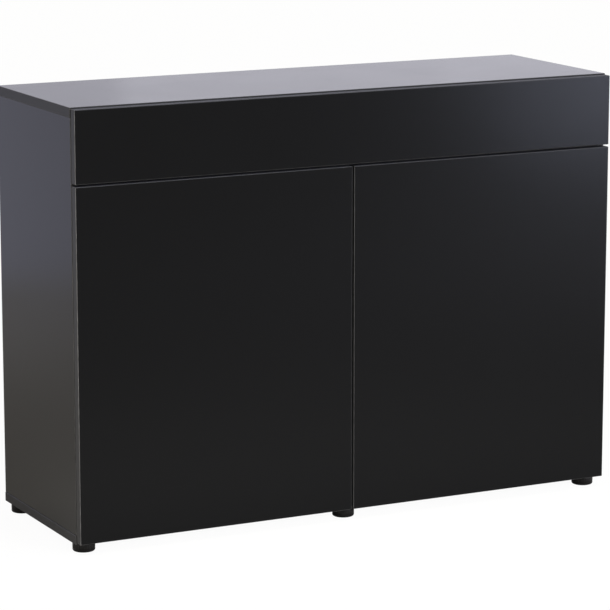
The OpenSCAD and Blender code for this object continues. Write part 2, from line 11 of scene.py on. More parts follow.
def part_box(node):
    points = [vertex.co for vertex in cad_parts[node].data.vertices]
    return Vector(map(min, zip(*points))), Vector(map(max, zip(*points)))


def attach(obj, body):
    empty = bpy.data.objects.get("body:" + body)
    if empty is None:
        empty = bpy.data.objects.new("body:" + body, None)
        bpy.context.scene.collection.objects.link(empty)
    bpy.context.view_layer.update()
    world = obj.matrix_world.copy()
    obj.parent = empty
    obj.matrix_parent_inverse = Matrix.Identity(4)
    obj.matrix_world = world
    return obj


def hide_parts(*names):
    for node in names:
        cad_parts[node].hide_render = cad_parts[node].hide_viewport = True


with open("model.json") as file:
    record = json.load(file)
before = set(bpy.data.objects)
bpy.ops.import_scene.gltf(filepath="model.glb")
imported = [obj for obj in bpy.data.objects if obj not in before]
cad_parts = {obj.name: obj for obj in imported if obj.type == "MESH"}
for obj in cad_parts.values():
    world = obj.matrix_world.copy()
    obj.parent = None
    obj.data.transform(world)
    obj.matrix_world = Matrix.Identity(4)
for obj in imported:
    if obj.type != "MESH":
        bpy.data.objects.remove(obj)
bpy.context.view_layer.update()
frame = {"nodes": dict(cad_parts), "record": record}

scene = bpy.context.scene
nodes = frame["nodes"]
rides = {node: body for body, held in frame["record"]["behaviour"]["bodies"].items() for node in held}


# Shader helpers

class Shader:
    """A material's node tree with short calls for its nodes and links."""

    def __init__(self, name):
        self.material = bpy.data.materials.new(name)
        self.material.use_nodes = True
        self.tree = self.material.node_tree
        self.surface = self.tree.nodes["Principled BSDF"]

    def node(self, kind, **sockets):
        made = self.tree.nodes.new("ShaderNode" + kind)
        for name, value in sockets.items():
            self.put(made, name, value)
        return made

    def put(self, target, name, value):
        """Sets an input, or links it where the value is an output of another node."""
        socket = target.inputs[int(name[1:]) if name[0] == "_" else name.replace("_", " ")]
        if isinstance(value, bpy.types.NodeSocket):
            self.tree.links.new(value, socket)
        else:
            socket.default_value = value

    def set(self, **sockets):
        for name, value in sockets.items():
            self.put(self.surface, name, value)

    def place(self):
        """Position in the part's own frame, in metres."""
        return self.node("TexCoord").outputs["Object"]

    def noise(self, scale, detail=2.0, stretch=None):
        spot = self.place()
        if stretch:
            spot = self.node("Mapping", Vector=spot, Scale=stretch).outputs["Vector"]
        return self.node("TexNoise", Vector=spot, Scale=scale, Detail=detail).outputs["Fac"]

    def math(self, operation, a, b=0.0):
        made = self.node("Math", _0=a, _1=b)
        made.operation = operation
        return made.outputs[0]

    def span(self, value, low, high, from_low=0.0, from_high=1.0):
        """Maps a value from one range to another, held at the ends."""
        made = self.node("MapRange", Value=value)
        limits = {"From Min": from_low, "From Max": from_high, "To Min": low, "To Max": high}
        for name, number in limits.items():
            made.inputs[name].default_value = number
        return made.outputs["Result"]

    def around(self, noise, middle, reach, window):
        """Lets a noise move a number by a reach to either side of its middle."""
        return self.span(noise, middle - reach, middle + reach, *window)

    def mix(self, share, first, second):
        """Mixes two numbers by a share from 0 to 1."""
        return self.node("Mix", _0=share, _2=first, _3=second).outputs[0]

    def blend(self, share, first, second):
        """Mixes two colours by a share from 0 to 1."""
        made = self.node("Mix")
        made.data_type = "RGBA"
        self.put(made, "_0", share)
        self.put(made, "_6", first)
        self.put(made, "_7", second)
        return made.outputs[2]

    def bump(self, height, depth, strength=1.0):
        made = self.node("Bump", Height=height, Distance=depth, Strength=strength)
        self.set(Normal=made.outputs["Normal"])

    def facing(self):
        """Size of the surface normal along each axis of the part."""
        normal = self.node("SeparateXYZ", Vector=self.node("TexCoord").outputs["Normal"])
        return {axis: self.math("ABSOLUTE", normal.outputs[axis]) for axis in "XYZ"}


def grey(level, tint=(1.0, 1.0, 1.0)):
    return (level * tint[0], level * tint[1], level * tint[2], 1.0)


# Parts of a noise's range that hold most of it, and the middle of it
MOST = (0.3, 0.7)
MIDDLE = (0.35, 0.65)
# Right end of the cabinet, and how near to either end the arrises get a stronger painted highlight
CABINET_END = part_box("top_panel")[1][0]
END_HIGHLIGHT_REACH = 0.01


def laminate(name, thickness_axis, face=0.0014, band=0.015, face_rough=0.2, band_rough=0.5, ior=1.2,
             level_band_highlight=None, end_arris_highlight=None, sheen_tint=(1.0, 1.0, 1.0)):
    """Satin black melamine: pearl grain, lighter edge bands round the board, arrises lightened partly as wear
    and partly as a painted highlight, a stronger painted highlight on the arrises at the cabinet's ends, and
    a painted highlight on the edge bands that face up or down.
    """
    pearl_tint, level_highlight_tint = (1, 1, 1.03), (0.97, 0.98, 1.14)
    pore_contrast, speck_contrast = 1.9, 1.45
    # Arrises are lightened partly as wear and partly as a painted highlight; horizontal arrises get less of
    # it
    arris_tone, arris_rough = grey(0.1), 0.22
    least_wear_and_highlight, level_wear_and_highlight = 0.6, 0.2
    s = Shader(name)
    pores = s.noise(scale=1400.0, detail=3.0)
    clouds = s.noise(scale=5.0, detail=2.0)
    specks = s.noise(scale=420.0, detail=1.0)
    wear_and_highlight_patches = s.noise(scale=60.0, detail=3.0)
    facing = s.facing()
    at_band = s.span(facing[thickness_axis], 1.0, 0.0, from_low=0.3, from_high=0.6)
    largest = s.math("MAXIMUM", s.math("MAXIMUM", facing["X"], facing["Y"]), facing["Z"])
    wear_and_highlight = s.math("MULTIPLY", s.span(wear_and_highlight_patches, least_wear_and_highlight, 1.0, *MIDDLE), s.span(facing["Z"], 1.0, level_wear_and_highlight))
    arris = s.math("MULTIPLY", s.span(largest, 1.0, 0.0, from_low=0.8, from_high=0.97), wear_and_highlight)
    cloud_part = s.around(clouds, face_rough, reach=0.006, window=MIDDLE)
    pore_part = s.around(pores, 0.0, reach=0.03, window=MOST)
    rough_face = s.math("ADD", cloud_part, pore_part)
    rough_band = s.around(specks, band_rough, reach=0.04, window=MOST)
    s.set(Roughness=s.mix(arris, s.mix(at_band, rough_face, rough_band), arris_rough), IOR=ior)
    s.set(Specular_Tint=grey(1.0, sheen_tint))
    dark_pearl, light_pearl = grey(face, pearl_tint), grey(face * pore_contrast, pearl_tint)
    face_tone = s.blend(s.span(pores, 0.0, 1.0, *MIDDLE), dark_pearl, light_pearl)
    band_tone = s.blend(s.span(specks, 0.0, 1.0, *MOST), grey(band), grey(band * speck_contrast))
    # Painted highlight: edge bands that face up or down are painted lighter and bluer, standing in for light
    # in the gaps and a reflection of the sky
    if level_band_highlight:
        at_level_highlight = s.span(facing["Z"], 0.0, 1.0, from_low=0.9, from_high=0.98)
        band_tone = s.blend(at_level_highlight, band_tone, grey(level_band_highlight, level_highlight_tint))
    # Painted highlight: arrises near either end of the cabinet get a lighter tone
    if end_arris_highlight:
        across = s.math("ABSOLUTE", s.node("SeparateXYZ", Vector=s.place()).outputs["X"])
        at_end_highlight = s.span(across, 0.0, 1.0, from_low=CABINET_END - END_HIGHLIGHT_REACH, from_high=CABINET_END)
        arris_tone = s.blend(at_end_highlight, arris_tone, grey(end_arris_highlight))
    s.set(Base_Color=s.blend(arris, s.blend(at_band, face_tone, band_tone), arris_tone))
    s.bump(pores, depth=0.00006, strength=0.35)
    return s.material


def plain(name, colour, rough, metallic=0.0, grain=900.0, depth=0.00003, broad_scale=40.0, ior=1.5):
    """Moulded, pressed or sawn surface with a fine grain and a broad variation."""
    dark_share = 0.82
    s = Shader(name)
    fine = s.noise(grain, detail=3.0)
    broad = s.noise(broad_scale, detail=3.0)
    s.set(Metallic=metallic, IOR=ior)
    broad_part = s.around(broad, rough, reach=0.06, window=MOST)
    fine_part = s.around(fine, 0.0, reach=0.04, window=MOST)
    s.set(Roughness=s.math("ADD", broad_part, fine_part))
    dark = tuple(c * dark_share for c in colour[:3]) + (1.0,)
    s.set(Base_Color=s.blend(s.span(broad, 0.0, 1.0, *MOST), dark, colour))
    s.bump(fine, depth, strength=0.4)
    return s.material


def galvanised(name):
    """Bright zinc on sheet steel: crystal spangle and fine rolling lines."""
    zinc_tint = (0.98, 1.0, 1.03)
    dark_tone, light_tone = 0.5, 0.66
    smooth_rough, dull_rough = 0.28, 0.4
    s = Shader(name)
    cells = s.node("TexVoronoi", Vector=s.place(), Scale=260.0)
    rolled = s.noise(scale=1.0, detail=2.0, stretch=(2600.0, 60.0, 2600.0))
    tone = s.node("RGBToBW", Color=cells.outputs["Color"]).outputs[0]
    s.set(Metallic=1.0)
    s.set(Base_Color=s.blend(tone, grey(dark_tone, zinc_tint), grey(light_tone, zinc_tint)))
    crystal_part = s.span(tone, smooth_rough, dull_rough)
    rolled_part = s.around(rolled, 0.0, reach=0.05, window=MOST)
    s.set(Roughness=s.math("ADD", crystal_part, rolled_part))
    s.bump(rolled, depth=0.00002, strength=0.3)
    return s.material


def clear_rubber(name):
    """Hazy clear rubber of the door bumpers."""
    clear_rough, hazy_rough = 0.12, 0.24
    s = Shader(name)
    haze = s.noise(scale=700.0, detail=2.0)
    s.set(Base_Color=grey(0.9, (0.97, 1.0, 1.0)), IOR=1.49, Transmission_Weight=0.85)
    s.set(Roughness=s.span(haze, clear_rough, hazy_rough, *MOST))
    s.bump(haze, depth=0.00002, strength=0.3)
    return s.material


FRONTS = ("drawer_front", "left_door", "right_door")
WARM_BLACK = (1.06, 1.0, 0.9)
finishes = {
    "drawer_board": plain("drawer_board", grey(0.05), rough=0.5, depth=0.00005),
    "foot_plastic": plain("foot_plastic", grey(0.005, WARM_BLACK), rough=0.4, ior=1.21),
    "fitting_plastic": plain("fitting_plastic", grey(0.02), rough=0.45),
    "beech": plain("beech", (0.55, 0.36, 0.18, 1), rough=0.6),
    "zinc": galvanised("zinc"),
    "screw_steel": plain("screw_steel", grey(0.55), rough=0.3, metallic=1.0),
    "nickel": plain("nickel", (0.62, 0.6, 0.56, 1), rough=0.22, metallic=1.0, grain=1600.0, depth=0.00001,
                    broad_scale=15.0),
    "bumper": clear_rubber("bumper"),
}
boards = {axis: laminate("laminate_" + axis.lower(), axis) for axis in "XYZ"}
# Inner boards: a lighter copy of the black laminate, painted light that lifts the shade inside the cabinet
lit_inner_boards = {axis: laminate("laminate_inner_" + axis.lower(), axis, face=0.005, band=0.02, face_rough=0.32)
                for axis in "XYZ"}
front_board = laminate("laminate_front", "Y", band=0.02, level_band_highlight=0.04, end_arris_highlight=0.19,
                       sheen_tint=(0.97, 1.0, 1.05))
INNER = ("shelf", "divider_rail", "rear_rail", "back_board", "partition")
slots = {name: cad.material_slots[0].material.name.split(".")[0] for name, cad in nodes.items()}
for name, cad in nodes.items():
    slot = slots[name]
    if name in FRONTS:
        finish = front_board
    elif slot == "laminate":
        low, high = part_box(name)
        sides = [b - a for a, b in zip(low, high)]
        axis = "XYZ"[sides.index(min(sides))]
        finish = (lit_inner_boards if name.endswith(INNER) else boards)[axis]
    else:
        finish = finishes[slot]
    cad.material_slots[0].material = finish


# Separate solids of a node, and the finished pieces that stand for them

PLACE_DIGITS = 6


def place_key(point):
    """A place in metres, rounded so that corners that meet have the same key."""
    return tuple(round(c, PLACE_DIGITS) for c in point)


def islands(name):
    """Faces of each separate solid of a node, as lists of corners."""
    mesh = nodes[name].data
    numbers = {}
    spots = [numbers.setdefault(place_key(v.co), len(numbers)) for v in mesh.vertices]
    parent = list(range(len(numbers)))

    def root(spot):
        while parent[spot] != spot:
            parent[spot] = parent[parent[spot]]
            spot = parent[spot]
        return spot

    for face in mesh.polygons:
        for corner in face.vertices[1:]:
            parent[root(spots[corner])] = root(spots[face.vertices[0]])
    places = list(numbers)
    groups = {}
    for face in mesh.polygons:
        corners = [spots[i] for i in face.vertices]
        if len(set(corners)) == len(corners):
            groups.setdefault(root(corners[0]), []).append([places[c] for c in corners])
    return list(groups.values())


def extent(points):
    """Lowest and highest corner of the points."""
    return tuple(Vector([pick(p[i] for p in points) for i in range(3)]) for pick in (min, max))


def add_piece(name, mesh, body, finish, replaced=()):
    """Puts a mesh into the scene as a piece that rides on a body and takes a slot's finish."""
    made = bpy.data.objects.new(name, mesh)
    scene.collection.objects.link(made)
    mesh.materials.append(finish)
    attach(made, body)
    if replaced:
        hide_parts(*replaced)


def finish_piece(name, bm, body, slot, replaced=(), smooth=35):
    """Turns a mesh under construction into a piece."""
    bmesh.ops.recalc_face_normals(bm, faces=bm.faces)
    mesh = bpy.data.meshes.new(name)
    bm.to_mesh(mesh)
    bm.free()
    mesh.shade_smooth()
    mesh.set_sharp_from_angle(angle=math.radians(smooth))
    add_piece(name, mesh, body, finishes[slot], replaced)


# Boards with rounded edges, their bores as they are drawn

SAME_FLAT = 2e-6
BORE_MARGIN = 1e-4
FILL_TOLERANCE = 1e-7
SMOOTH_COSINE = 0.75


class Board:
    """Rebuilds a bored block with its outer edges rounded, one solid after another."""

    def __init__(self):
        self.points, self.numbers, self.faces, self.normals = [], {}, [], []

    def number(self, point):
        key = place_key(point)
        if key not in self.numbers:
            self.numbers[key] = len(self.points)
            self.points.append(Vector(point))
        return self.numbers[key]

    def add(self, corners, normals):
        self.faces.append([self.number(c) for c in corners])
        self.normals += normals

    def add_solid(self, solid, radius, segments):
        low, high = extent([c for face in solid for c in face])

        def flat_of(corners):
            """The outer flat that the corners lie in, as an axis and an end."""
            for axis in range(3):
                for end, value in enumerate((low[axis], high[axis])):
                    if all(abs(c[axis] - value) < SAME_FLAT for c in corners):
                        return axis, end

        def on_rim(edge, across):
            """Whether an edge runs along the outline of its flat."""
            ends = [(k, value) for k in across for value in (low[k], high[k])]
            return any(all(abs(c[k] - value) < SAME_FLAT for c in edge) for k, value in ends)

        rims, bores = {}, []
        for face in solid:
            flat = flat_of(face)
            if flat is None:
                bores.append([Vector(c) for c in face])
                continue
            for a, b in zip(face, face[1:] + face[:1]):
                edges = rims.setdefault(flat, {})
                edges[frozenset((a, b))] = edges.get(frozenset((a, b)), 0) + 1
        for (axis, end), edges in rims.items():
            across = [k for k in range(3) if k != axis]
            inside = [edge for edge, count in edges.items() if count == 1 and not on_rim(edge, across)]
            for edge in inside:
                for c in edge:
                    for k in across:
                        if min(c[k] - low[k], high[k] - c[k]) < radius + BORE_MARGIN:
                            return False
            rims[axis, end] = [tuple(edge) for edge in inside]

        bm = bmesh.new()
        bmesh.ops.create_cube(bm, size=1.0, matrix=Matrix.LocRotScale((low + high) / 2, None, high - low))
        bmesh.ops.bevel(bm, geom=bm.edges[:], offset=radius, offset_type="OFFSET", segments=segments,
                        profile=0.5, affect="EDGES")
        least = [value + radius for value in low]
        most = [value - radius for value in high]
        for face in bm.faces:
            corners = [v.co.copy() for v in face.verts]
            flat = flat_of(corners)
            if flat is None:
                core = [Vector([min(max(c[k], least[k]), most[k]) for k in range(3)]) for c in corners]
                self.add(corners, [(c - near).normalized() for c, near in zip(corners, core)])
            else:
                self.add_flat(flat, corners, rims.get(flat, []))
        bm.free()
        self.add_bores(bores)
        return True

    def add_flat(self, flat, corners, rims):
        """Fills an outer flat between its rectangle and the rims of its bores."""
        axis, end = flat
        u, v = [k for k in range(3) if k != axis]
        facing = Vector([(1 if end else -1) if k == axis else 0 for k in range(3)])
        if not rims:
            self.add(corners, [facing] * len(corners))
            return
        ring = [self.number(c) for c in corners]
        edges = list(zip(ring, ring[1:] + ring[:1])) + [(self.number(a), self.number(b)) for a, b in rims]
        used = sorted({i for edge in edges for i in edge})
        order = {i: n for n, i in enumerate(used)}
        spots = [Vector((self.points[i][u], self.points[i][v])) for i in used]
        lines = [(order[a], order[b]) for a, b in edges]
        _, _, filled, origins, _, _ = delaunay_2d_cdt(spots, lines, [], 1, FILL_TOLERANCE)
        triangles = [[used[origins[n][0]] for n in triangle] for triangle in filled]
        sides = {}
        for n, three in enumerate(triangles):
            for i in range(3):
                sides.setdefault(frozenset((three[i], three[i - 1])), []).append(n)
        walls = {frozenset(edge) for edge in edges}
        solid = {n for n, three in enumerate(triangles) if not set(ring).isdisjoint(three)}
        waiting = list(solid)
        while waiting:
            three = triangles[waiting.pop()]
            for i in range(3):
                side = frozenset((three[i], three[i - 1]))
                if side not in walls:
                    waiting += [n for n in sides[side] if n not in solid]
                    solid.update(sides[side])
        for n in sorted(solid):
            three = [self.points[i] for i in triangles[n]]
            if (three[1] - three[0]).cross(three[2] - three[0]).dot(facing) < 0:
                three.reverse()
            self.add(three, [facing] * 3)

    def add_bores(self, bores):
        """Adds the walls of the bores, smooth round their axes and sharp at their ends."""
        around = {}
        for face in bores:
            normal = (face[1] - face[0]).cross(face[2] - face[0]).normalized()
            for c in face:
                around.setdefault(self.number(c), []).append(normal)
        for face in bores:
            normal = (face[1] - face[0]).cross(face[2] - face[0]).normalized()
            smooth = []
            for c in face:
                alike = [n for n in around[self.number(c)] if n.dot(normal) > SMOOTH_COSINE]
                smooth.append(sum(alike, Vector()).normalized())
            self.add(face, smooth)

    def mesh(self, name):
        kept = sorted({i for face in self.faces for i in face})
        order = {i: n for n, i in enumerate(kept)}
        made = bpy.data.meshes.new(name)
        faces = [[order[i] for i in face] for face in self.faces]
        made.from_pydata([self.points[i] for i in kept], [], faces)
        made.shade_smooth()
        made.normals_split_custom_set(self.normals)
        return made


def round_board(name, radius, segments=3):
    """Stands a rounded board in for its node, unless one of its bores is too near an edge."""
    board = Board()
    if all([board.add_solid(solid, radius, segments) for solid in islands(name)]):
        finish = nodes[name].material_slots[0].material
        add_piece(name + "_rounded", board.mesh(name + "_rounded"), rides[name], finish, [name])


SIDES = ("left", "right")
FRONT_ROUND = 0.0014
PANEL_ROUND = 0.0012
SHELF_ROUND = 0.0008
RAIL_ROUND = 0.0006
HOUSING_ROUND = 0.0008
for name in FRONTS:
    round_board(name, FRONT_ROUND, segments=4)
for name in ("left_side_panel", "right_side_panel", "top_panel", "bottom_panel"):
    round_board(name, PANEL_ROUND)
for name in ("left_shelf", "right_shelf", "centre_partition"):
    round_board(name, SHELF_ROUND)
for side in SIDES:
    for piece in ("divider_rail", "rear_rail", "back_board"):
        round_board(f"{side}_{piece}", RAIL_ROUND)
    for piece in ("outer_side", "inner_side", "front", "back", "bottom"):
        round_board(f"{side}_box_{piece}", RAIL_ROUND)
round_board("latch_housings", HOUSING_ROUND)


# Turned pieces, placed on the solids of their nodes

RIM_REACH = 1e-5


def turned_places(name, axis, outward=None):
    """For each solid of revolution in a node: a place with +Z out of its wider end, and its length."""
    found = []
    for solid in islands(name):
        points = [Vector(c) for face in solid for c in face]
        low, high = extent(points)
        middle = (low + high) / 2
        reach = {}
        for end in (low[axis], high[axis]):
            rim = [p - middle for p in points if abs(p[axis] - end) < RIM_REACH]
            reach[end] = max(math.hypot(*(d[i] for i in range(3) if i != axis)) for d in rim)
        sign = outward(middle) if outward else (1 if reach[high[axis]] > reach[low[axis]] else -1)
        tip = middle.copy()
        tip[axis] = high[axis] if sign > 0 else low[axis]
        along = Vector([sign if i == axis else 0 for i in range(3)])
        found.append((Matrix.Translation(tip) @ along.to_track_quat("Z", "Y").to_matrix().to_4x4(),
                      high[axis] - low[axis]))
    return found


def lathe(bm, place, profile, turns, wave=None):
    """Turns (radius, height) pairs about the local Z of a place; a wave changes the radius by the angle."""
    rings = []
    for radius, height in profile:
        ring = []
        for i in range(turns if radius > 0 else 1):
            angle = 2 * math.pi * i / turns
            r = wave(radius, height, i) if wave else radius
            ring.append(bm.verts.new(place @ Vector((r * math.cos(angle), r * math.sin(angle), height))))
        rings.append(ring)
    for low, high in zip(rings, rings[1:]):
        for i in range(turns):
            j = (i + 1) % turns
            corners = [low[i % len(low)], low[j % len(low)], high[j % len(high)], high[i % len(high)]]
            bm.faces.new(list(dict.fromkeys(corners)))
    return rings


def cross_recess(bm, place, ring, height, reach, width, depth):
    """Fills the ring at the top of a turned head with a flat that holds a tapered cross recess."""
    floor_reach, floor_width = 0.55, 0.75
    a, b = reach, width / 2
    outline = [(a, b), (b, b), (b, a), (-b, a), (-b, b), (-a, b),
               (-a, -b), (-b, -b), (-b, -a), (b, -a), (b, -b), (a, -b)]
    count = len(outline)
    low = height - depth
    top = [bm.verts.new(place @ Vector((x, y, height))) for x, y in outline]
    floor = [bm.verts.new(place @ Vector((x * floor_reach, y * floor_width, low))) for x, y in outline]
    edges = [bm.edges.get((ring[i], ring[(i + 1) % len(ring)])) for i in range(len(ring))]
    edges += [bm.edges.new((top[i], top[(i + 1) % count])) for i in range(count)]
    bmesh.ops.triangle_fill(bm, edges=edges, use_beauty=True, normal=place.to_3x3() @ Vector((0, 0, 1)))
    for i in range(count):
        j = (i + 1) % count
        bm.faces.new((top[i], top[j], floor[j], floor[i]))
    bm.faces.new(floor)


def thread(radius, root, bottom, top, pitch):
    """Profile of a threaded shank from its tip to its head."""
    tip_share, neck_share = 0.7, 0.92
    tip_rise, first_crest, half_turn = pitch * 0.4, pitch * 0.9, pitch * 0.5
    profile = [(0, bottom), (root * tip_share, bottom), (root, bottom + tip_rise)]
    z = bottom + first_crest
    while z + half_turn < top - pitch:
        profile += [(radius, z), (root, z + half_turn)]
        z += pitch
    return profile + [(radius * neck_share, z), (radius * neck_share, top)]


# Pan head as shares of its radius and of its height below the top
HEAD_PROFILE = ((0.96, 1.0), (1.0, 0.85), (0.98, 0.55), (0.88, 0.22), (0.72, 0.0))
ROOT_SHARE = 0.36
RECESS_REACH = 0.55
RECESS_WIDTH = 0.24
RECESS_SHARE = 0.7
RECESS_DEPTH = 0.0014


def screw(bm, place, length, shank_d, head_d, head_h, pitch=0.0014):
    """Pan-head screw, from the top of its head at 0 down to its tip."""
    r = head_d / 2
    profile = thread(shank_d / 2, shank_d * ROOT_SHARE, -length, -head_h, pitch)
    profile += [(r * wide, -head_h * deep) for wide, deep in HEAD_PROFILE]
    rings = lathe(bm, place, profile, turns=24)
    depth = min(head_h * RECESS_SHARE, RECESS_DEPTH)
    cross_recess(bm, place, rings[-1], 0, r * RECESS_REACH, r * RECESS_WIDTH, depth)


# Screws: shank diameter, head diameter and head height in metres
X, Y = 0, 1
PLATE_SCREW = (0.005, 0.009, 0.002)
RUNNER_SCREW = (0.004, 0.0064, 0.0012)
FRONT_SCREW = (0.004, 0.008, 0.002)
CUP_SCREW = (0.0035, 0.0065, 0.001)
for node, body, axis, sizes in (
        ("hinge_plate_screws", "carcass", X, PLATE_SCREW),
        ("runner_screws", "carcass", X, RUNNER_SCREW),
        ("drawer_front_screws", "drawer", Y, FRONT_SCREW),
        ("drawer_runner_screws", "drawer", X, RUNNER_SCREW),
        ("left_cup_screws", "left_door", Y, CUP_SCREW),
        ("right_cup_screws", "right_door", Y, CUP_SCREW)):
    bm = bmesh.new()
    for place, length in turned_places(node, axis):
        screw(bm, place, length, *sizes)
    finish_piece(node + "_crossed", bm, body, "screw_steel", [node])

# Cam locks: a hollow drum with a dished, crossed face, which looks left in the right side panel
PARTITION_REACH = 0.1
CAM_R = 0.0075
CAM_EDGE_R = CAM_R * 0.96
CAM_FACE_R = CAM_R * 0.84
CAM_DISH_R = CAM_R * 0.8
CAM_FLAT_R = CAM_R * 0.74
CAM_HOLLOW_R = 0.0048
CAM_FLOOR = 0.0046
CAM_CHAMFER = 0.0005
CAM_DISH = 0.0004
CAM_CROSS = {"reach": 0.0042, "width": 0.0018, "depth": 0.0026}
bm = bmesh.new()
for place, length in turned_places("cam_locks", X, lambda middle: -1 if middle.x > PARTITION_REACH else 1):
    hollow = [(0, -CAM_FLOOR), (CAM_HOLLOW_R, -CAM_FLOOR), (CAM_HOLLOW_R, -length)]
    drum = [(CAM_EDGE_R, -length), (CAM_R, -length + CAM_CHAMFER), (CAM_R, -CAM_CHAMFER), (CAM_EDGE_R, 0)]
    dish = [(CAM_FACE_R, 0), (CAM_DISH_R, -CAM_DISH), (CAM_FLAT_R, -CAM_DISH)]
    rings = lathe(bm, place, hollow + drum + dish, turns=40)
    cross_recess(bm, place, rings[-1], -CAM_DISH, **CAM_CROSS)
finish_piece("cam_locks_crossed", bm, "carcass", "zinc", ["cam_locks"])

# Shelf pins: a rounded end and a groove where the pin leaves its bore, as shares of the radius and depths
PIN_R = 0.0025
PIN_TIP_R = PIN_R * 0.8
PIN_GROOVE = ((1.0, 0.0098), (0.86, 0.0094), (0.86, 0.0088), (1.0, 0.0084))
PIN_END = ((1.0, 0.0012), (0.88, 0.0004), (0.6, 0.0))
PIN_CHAMFER = 0.0006


def pin_outward(middle):
    """Direction along X from a pin's bore into the bay that it stands in."""
    return 1 if middle.x < -PARTITION_REACH or 0 < middle.x < PARTITION_REACH else -1


bm = bmesh.new()
for place, length in turned_places("shelf_pins", X, pin_outward):
    buried = [(0, -length), (PIN_TIP_R, -length), (PIN_R, -length + PIN_CHAMFER)]
    shown = [(PIN_R * wide, -deep) for wide, deep in PIN_GROOVE + PIN_END]
    lathe(bm, place, buried + shown + [(0, 0)], turns=28)
finish_piece("shelf_pins_turned", bm, "carcass", "screw_steel", ["shelf_pins"])

# Door bumpers: a low rim and a dome
BUMPER_R = 0.003
BUMPER_SOLE_R = BUMPER_R * 0.97
BUMPER_RIM = 0.0004
DOME_STEP, DOME_END = 18, 72
for side in SIDES:
    bm = bmesh.new()
    for place, length in turned_places(f"{side}_door_bumpers", Y, lambda middle: 1):
        angles = [math.radians(d) for d in range(0, DOME_END + 1, DOME_STEP)]
        dome_h = length - BUMPER_RIM
        dome = [(BUMPER_R * math.cos(a), -length + BUMPER_RIM + dome_h * math.sin(a)) for a in angles]
        lathe(bm, place, [(0, -length), (BUMPER_SOLE_R, -length)] + dome + [(0, 0)], turns=32)
    replaced = [f"{side}_door_bumpers"]
    finish_piece(f"{side}_door_bumper_domes", bm, f"{side}_door", "bumper", replaced, smooth=60)

# Adjusting screws of the hinge arms, set forward from the arm's back end
ARM_SCREW_SETBACKS = (0.009, 0.041)
ARM_SCREW_PROUD = 0.0008
ARM_SCREW_L = 0.0052
ARM_SCREW = (0.004, 0.0074, 0.0012)
ARM_SCREW_PITCH = 0.001
bm = bmesh.new()
for solid in islands("hinge_arms"):
    low, high = extent([c for face in solid for c in face])
    inward = -1 if low.x > 0 else 1
    face_x = low.x if inward < 0 else high.x
    for setback in ARM_SCREW_SETBACKS:
        spot = (face_x + inward * ARM_SCREW_PROUD, high.y - setback, (low.z + high.z) / 2)
        turn = Vector((inward, 0, 0)).to_track_quat("Z", "Y").to_matrix().to_4x4()
        screw(bm, Matrix.Translation(spot) @ turn, ARM_SCREW_L, *ARM_SCREW, pitch=ARM_SCREW_PITCH)
finish_piece("hinge_arm_screws", bm, "carcass", "screw_steel")

# Feet: a rounded, fluted pad with a groove below the flutes, and a threaded stem
PAD_H = 0.018
PAD_ROUND = 0.004
ROUND_STEP = 15
SOLE_SHARE = 0.5
GROOVE_LOW, GROOVE_FLOOR_LOW, GROOVE_FLOOR_HIGH = 0.0052, 0.0058, 0.0066
GROOVE_DEPTH = 0.0007
FLUTE_LOW, FLUTE_HIGH = 0.0072, 0.0152
FLUTE_DEPTH = 0.0005
SHOULDER_LOW = 0.0164
SHOULDER_LOW_IN, SHOULDER_TOP_IN = 0.0006, 0.0022
STEM_R, STEM_ROOT, STEM_PITCH = 0.004, 0.0033, 0.00125
STEM_COLLAR_R = 0.0046


def fluted(radius, height, step):
    """Radius of the pad at a step round it, drawn in on every other pair of steps along the flutes."""
    return radius - (FLUTE_DEPTH if FLUTE_LOW <= height <= FLUTE_HIGH and step % 4 < 2 else 0)


for foot in [name for name in nodes if name.startswith("foot_") and name != "foot_inserts"]:
    low, high = (Vector(corner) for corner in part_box(foot))
    place = Matrix.Translation(((low.x + high.x) / 2, (low.y + high.y) / 2, low.z))
    r = (high.x - low.x) / 2
    tall = high.z - low.z
    angles = [math.radians(d) for d in range(0, 90 + 1, ROUND_STEP)]
    sole = [(0, 0), (r * SOLE_SHARE, 0)]
    core_r = r - PAD_ROUND
    rounding = [(core_r + PAD_ROUND * math.sin(a), PAD_ROUND - PAD_ROUND * math.cos(a)) for a in angles]
    groove_r = r - GROOVE_DEPTH
    groove = [(r, GROOVE_LOW), (groove_r, GROOVE_FLOOR_LOW), (groove_r, GROOVE_FLOOR_HIGH)]
    flutes = [(r, FLUTE_LOW), (r, FLUTE_HIGH)]
    shoulder = [(r - SHOULDER_LOW_IN, SHOULDER_LOW), (r - SHOULDER_TOP_IN, PAD_H), (STEM_COLLAR_R, PAD_H)]
    stem = thread(STEM_R, STEM_ROOT, 0, tall - PAD_H, STEM_PITCH)
    stem = [(radius, tall - z) for radius, z in reversed(stem)]
    bm = bmesh.new()
    lathe(bm, place, sole + rounding + groove + flutes + shoulder + stem, turns=96, wave=fluted)
    finish_piece(foot + "_moulded", bm, foot, "foot_plastic", [foot])


# Studio

def area_lamp(name, place, aim, size, power, colour=(1, 1, 1), spread=180):
    lamp = bpy.data.lights.new(name, "AREA")
    lamp.shape = "RECTANGLE"
    lamp.size, lamp.size_y = size
    lamp.energy = power
    lamp.color = colour
    lamp.spread = math.radians(spread)
    made = bpy.data.objects.new(name, lamp)
    made.location = place
    made.rotation_euler = (Vector(aim) - Vector(place)).to_track_quat("-Z", "Y").to_euler()
    made.visible_camera = False
    scene.collection.objects.link(made)


